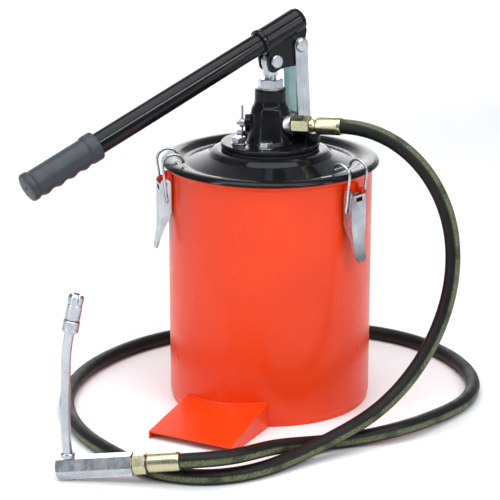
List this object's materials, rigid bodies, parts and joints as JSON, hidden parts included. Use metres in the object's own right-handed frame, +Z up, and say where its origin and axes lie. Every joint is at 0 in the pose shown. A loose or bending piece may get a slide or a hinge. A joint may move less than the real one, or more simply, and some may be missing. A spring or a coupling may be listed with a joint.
{
  "type": "lever-operated bucket grease pump",
  "caption": "Hand-lever bucket grease pump: orange bucket with clamped black lid, pump head with swing links, handle, hose and spigot.",
  "frame": {"origin": "centre of the bucket's underside, on the pump's axis", "axes": "+Z up along the pump's axis; the handle lies towards -X in the XZ plane and the swing links stand on the +X side of the plunger; the hose leaves towards -Y"},
  "size_m": [0.5245, 0.3831, 0.4075],
  "materials": {
    "orange_paint": "gloss",
    "black_enamel": "gloss",
    "white_zinc": "satin",
    "yellow_zinc": "satin",
    "plain_steel": "satin",
    "seal_rubber": "matte",
    "hose_rubber": "matte",
    "grip_rubber": "matte"
  },
  "bodies": {
    "pump": {"bucket_shell": "orange_paint", "bucket_base": "orange_paint", "footplate": "orange_paint", "lid": "black_enamel", "lid_gasket": "seal_rubber", "pump_body": "black_enamel", "flange_gasket": "seal_rubber", "backing_ring": "plain_steel", "gland_nut": "white_zinc", "gland_packing": "seal_rubber", "suction_tube": "plain_steel", "foot_valve_seat": "plain_steel", "bleed_screw": "white_zinc", "bleed_bar": "plain_steel", "outlet_collar": "white_zinc", "hose_nut": "yellow_zinc", "hose_ferrule_pump": "yellow_zinc", "hose": "hose_rubber", "hose_ferrule_spigot": "yellow_zinc", "spigot_nut": "yellow_zinc", "spigot_body": "white_zinc", "spigot_collar": "white_zinc", "spigot_tube": "white_zinc", "coupler_collar": "white_zinc", "coupler_body": "white_zinc", "flange_bolt_1": "white_zinc", "flange_bolt_2": "white_zinc", "flange_bolt_3": "white_zinc", "flange_bolt_4": "white_zinc", "latch_bracket_1": "orange_paint", "latch_bracket_2": "orange_paint", "latch_bracket_3": "orange_paint", "latch_pin_1": "white_zinc", "latch_pin_2": "white_zinc", "latch_pin_3": "white_zinc"},
    "links": {"link_front": "white_zinc", "link_rear": "white_zinc", "link_pin": "white_zinc", "fulcrum_bolt": "white_zinc"},
    "lever": {"lever_socket": "black_enamel", "handle_tube": "black_enamel", "hand_grip": "grip_rubber", "plunger_pin": "white_zinc"},
    "plunger": {"plunger_rod": "plain_steel", "piston": "plain_steel"},
    "follower": {"follower_plate": "plain_steel", "follower_wiper": "seal_rubber"},
    "check_ball": {"foot_valve_ball": "plain_steel"},
    "latch_1": {"latch_lever_1": "white_zinc"},
    "bail_1": {"latch_bail_1": "white_zinc"},
    "latch_2": {"latch_lever_2": "white_zinc"},
    "bail_2": {"latch_bail_2": "white_zinc"},
    "latch_3": {"latch_lever_3": "white_zinc"},
    "bail_3": {"latch_bail_3": "white_zinc"}
  },
  "joints": [
    {"name": "handle", "type": "hinge", "parent": "links", "child": "lever", "pos_m": [0.0298, 0, 0.3718], "axis": [0, 1, 0], "range_deg": [0, 50]},
    {"name": "link_sway", "type": "hinge", "parent": "pump", "child": "links", "pos_m": [0.0345, 0, 0.291], "axis": [0, 1, 0], "range_deg": [0, 1.14]},
    {"name": "plunger_slide", "type": "slide", "parent": "pump", "child": "plunger", "axis": [0, 0, 1], "range_m": [0, 0.02809]},
    {"name": "follower_slide", "type": "slide", "parent": "pump", "child": "follower", "axis": [0, 0, 1], "range_m": [-0.17, 0]},
    {"name": "check_lift", "type": "slide", "parent": "pump", "child": "check_ball", "axis": [0, 0, 1], "range_m": [0, 0.004]},
    {"name": "latch_swing_1", "type": "hinge", "parent": "pump", "child": "latch_1", "pos_m": [0.02912, -0.10867, 0.2375], "axis": [-0.9659, -0.2588, 0], "range_deg": [0, 95]},
    {"name": "bail_swing_1", "type": "hinge", "parent": "latch_1", "child": "bail_1", "pos_m": [0.02886, -0.1077, 0.2195], "axis": [-0.9659, -0.2588, 0], "range_deg": [-80.75, 0]},
    {"name": "latch_swing_2", "type": "hinge", "parent": "pump", "child": "latch_2", "pos_m": [0.08228, 0.07673, 0.2375], "axis": [0.682, -0.7314, 0], "range_deg": [0, 95]},
    {"name": "bail_swing_2", "type": "hinge", "parent": "latch_2", "child": "bail_2", "pos_m": [0.08155, 0.07604, 0.2195], "axis": [0.682, -0.7314, 0], "range_deg": [-80.75, 0]},
    {"name": "latch_swing_3", "type": "hinge", "parent": "pump", "child": "latch_3", "pos_m": [-0.10699, 0.03476, 0.2375], "axis": [0.309, 0.9511, 0], "range_deg": [0, 95]},
    {"name": "bail_swing_3", "type": "hinge", "parent": "latch_3", "child": "bail_3", "pos_m": [-0.10604, 0.03445, 0.2195], "axis": [0.309, 0.9511, 0], "range_deg": [-80.75, 0]}
  ],
  "couplings": [
    {"joint": "link_sway", "follows": "handle", "ratio": 0.0227},
    {"joint": "plunger_slide", "follows": "handle", "m_per_rad": 0.03218},
    {"joint": "bail_swing_1", "follows": "latch_swing_1", "ratio": -0.85},
    {"joint": "bail_swing_2", "follows": "latch_swing_2", "ratio": -0.85},
    {"joint": "bail_swing_3", "follows": "latch_swing_3", "ratio": -0.85}
  ]
}
